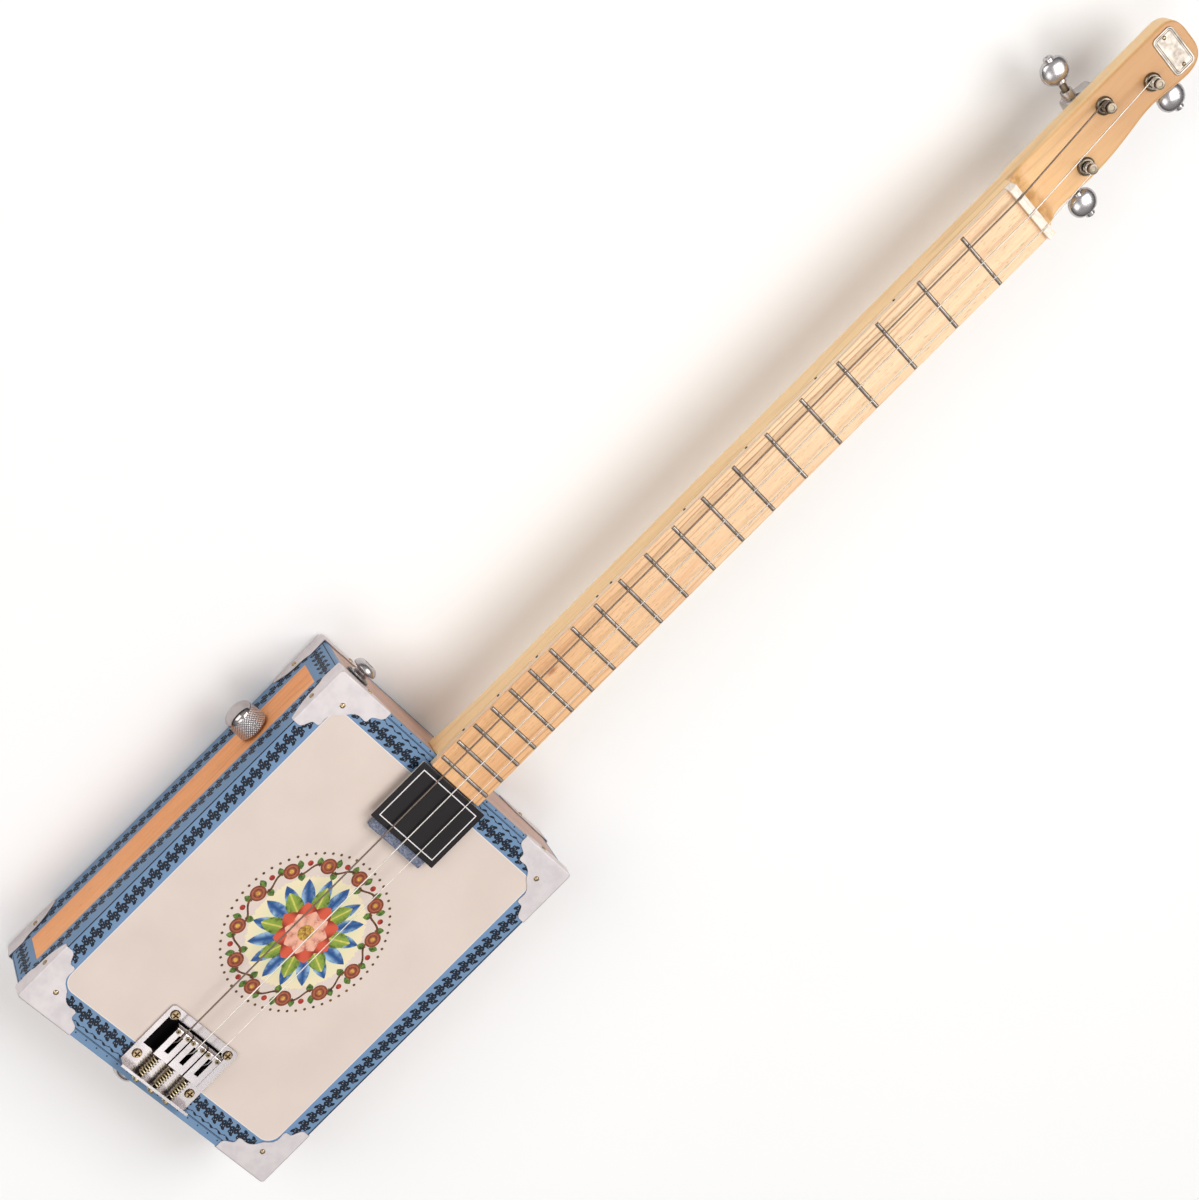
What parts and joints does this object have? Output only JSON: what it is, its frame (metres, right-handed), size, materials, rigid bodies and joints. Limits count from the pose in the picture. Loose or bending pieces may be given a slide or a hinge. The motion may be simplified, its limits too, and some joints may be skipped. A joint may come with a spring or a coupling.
{
  "type": "cigar box guitar",
  "caption": "Electric cigar box guitar: printed wooden box body with metal corners, through neck with frets, adjustable bridge, pickup, volume knob and worm-geared tuners.",
  "frame": {"origin": "centre of the outside face of the box's back board", "axes": "+Z out of the soundboard, +Y along the neck from the box to the head, +X towards the treble string"},
  "size_m": [0.2075, 0.829, 0.0696],
  "materials": {
    "printed_lid": "printed paper under satin varnish",
    "box_wood": "satin",
    "neck_wood": "satin oil",
    "fretboard_wood": "satin",
    "bone": "polished bone",
    "nickel": "satin nickel plate",
    "chrome": "polished",
    "steel": "plain",
    "brass": "plain",
    "black_plastic": "semi-gloss",
    "pickup_pad": "matte",
    "lead_jacket": "matte",
    "felt": "felt",
    "wound_string": "wound wire",
    "plain_string": "plain wire"
  },
  "bodies": {
    "guitar": {"lid": "printed_lid", "back_board": "box_wood", "side_bass": "box_wood", "side_treble": "box_wood", "end_neck": "box_wood", "end_tail": "box_wood", "corner_upper_neck_bass": "nickel", "corner_upper_neck_treble": "nickel", "corner_upper_tail_bass": "nickel", "corner_upper_tail_treble": "nickel", "corner_lower_neck_bass": "nickel", "corner_lower_neck_treble": "nickel", "corner_lower_tail_bass": "nickel", "corner_lower_tail_treble": "nickel", "neck": "neck_wood", "fretboard": "fretboard_wood", "nut": "bone", "head_plate": "steel", "tuner_housing_1": "chrome", "tuner_housing_2": "chrome", "tuner_housing_3": "chrome", "tuner_bushing_1": "chrome", "tuner_bushing_2": "chrome", "tuner_bushing_3": "chrome", "bridge_plate": "chrome", "intonation_spring_1": "brass", "intonation_spring_2": "brass", "intonation_spring_3": "brass", "pickup_plate": "black_plastic", "pickup_body": "pickup_pad", "pot_body": "steel", "pot_nut": "steel", "jack_body": "steel", "jack_nut": "chrome", "pickup_lead": "lead_jacket", "jack_lead": "lead_jacket", "strap_button_neck": "chrome", "strap_button_tail": "chrome", "strap_felt_neck": "felt", "strap_felt_tail": "felt", "string_1": "wound_string", "string_2": "plain_string", "string_3": "plain_string"},
    "tuner_key_1": {"tuner_worm_1": "chrome", "tuner_button_1": "chrome"},
    "tuner_key_2": {"tuner_worm_2": "chrome", "tuner_button_2": "chrome"},
    "tuner_key_3": {"tuner_worm_3": "chrome", "tuner_button_3": "chrome"},
    "string_post_1": {"tuner_post_1": "chrome"},
    "string_post_2": {"tuner_post_2": "chrome"},
    "string_post_3": {"tuner_post_3": "chrome"},
    "volume_control": {"volume_knob": "chrome", "pot_shaft": "steel"},
    "intonation_1": {"intonation_screw_1": "chrome"},
    "intonation_2": {"intonation_screw_2": "chrome"},
    "intonation_3": {"intonation_screw_3": "chrome"},
    "saddle_carriage_1": {"saddle_1": "chrome"},
    "saddle_carriage_2": {"saddle_2": "chrome"},
    "saddle_carriage_3": {"saddle_3": "chrome"}
  },
  "joints": [
    {"name": "tuner_key_1_turn", "type": "hinge", "parent": "guitar", "child": "tuner_key_1", "pos_m": [-0.00968, 0.62612, 0.03138], "axis": [-0.9903, 0.1392, 0], "continuous": true},
    {"name": "tuner_key_2_turn", "type": "hinge", "parent": "guitar", "child": "tuner_key_2", "pos_m": [0.00149, 0.67034, 0.03138], "axis": [0.9986, 0.0523, 0], "continuous": true},
    {"name": "tuner_key_3_turn", "type": "hinge", "parent": "guitar", "child": "tuner_key_3", "pos_m": [0.00939, 0.59736, 0.03138], "axis": [0.9986, -0.0523, 0], "continuous": true},
    {"name": "string_post_1_turn", "type": "hinge", "parent": "guitar", "child": "string_post_1", "pos_m": [-0.0086, 0.6338, 0.0389], "axis": [0, 0, 1], "continuous": true},
    {"name": "string_post_2_turn", "type": "hinge", "parent": "guitar", "child": "string_post_2", "pos_m": [0.0019, 0.6626, 0.0389], "axis": [0, 0, 1], "continuous": true},
    {"name": "string_post_3_turn", "type": "hinge", "parent": "guitar", "child": "string_post_3", "pos_m": [0.0098, 0.6051, 0.0389], "axis": [0, 0, 1], "continuous": true},
    {"name": "volume_turn", "type": "hinge", "parent": "guitar", "child": "volume_control", "pos_m": [-0.094, 0.0645, 0.029], "axis": [-1, 0, 0], "range_deg": [0, 300]},
    {"name": "intonation_1_turn", "type": "hinge", "parent": "guitar", "child": "intonation_1", "pos_m": [-0.0114, -0.118, 0.0637], "axis": [0, 1, 0], "range_deg": [-1440, 1440]},
    {"name": "intonation_2_turn", "type": "hinge", "parent": "guitar", "child": "intonation_2", "pos_m": [0, -0.118, 0.0637], "axis": [0, 1, 0], "range_deg": [-1440, 1440]},
    {"name": "intonation_3_turn", "type": "hinge", "parent": "guitar", "child": "intonation_3", "pos_m": [0.0114, -0.118, 0.0637], "axis": [0, 1, 0], "range_deg": [-1440, 1440]},
    {"name": "saddle_1_slide", "type": "slide", "parent": "guitar", "child": "saddle_carriage_1", "axis": [0, 1, 0], "range_m": [-0.002, 0.002], "deforming": ["intonation_spring_1"]},
    {"name": "saddle_2_slide", "type": "slide", "parent": "guitar", "child": "saddle_carriage_2", "axis": [0, 1, 0], "range_m": [-0.002, 0.002], "deforming": ["intonation_spring_2"]},
    {"name": "saddle_3_slide", "type": "slide", "parent": "guitar", "child": "saddle_carriage_3", "axis": [0, 1, 0], "range_m": [-0.002, 0.002], "deforming": ["intonation_spring_3"]}
  ],
  "couplings": [
    {"joint": "string_post_1_turn", "follows": "tuner_key_1_turn", "ratio": 0.066667},
    {"joint": "string_post_2_turn", "follows": "tuner_key_2_turn", "ratio": 0.066667},
    {"joint": "string_post_3_turn", "follows": "tuner_key_3_turn", "ratio": -0.066667},
    {"joint": "intonation_1_turn", "follows": "saddle_1_slide", "rad_per_m": -12566},
    {"joint": "intonation_2_turn", "follows": "saddle_2_slide", "rad_per_m": -12566},
    {"joint": "intonation_3_turn", "follows": "saddle_3_slide", "rad_per_m": -12566}
  ]
}
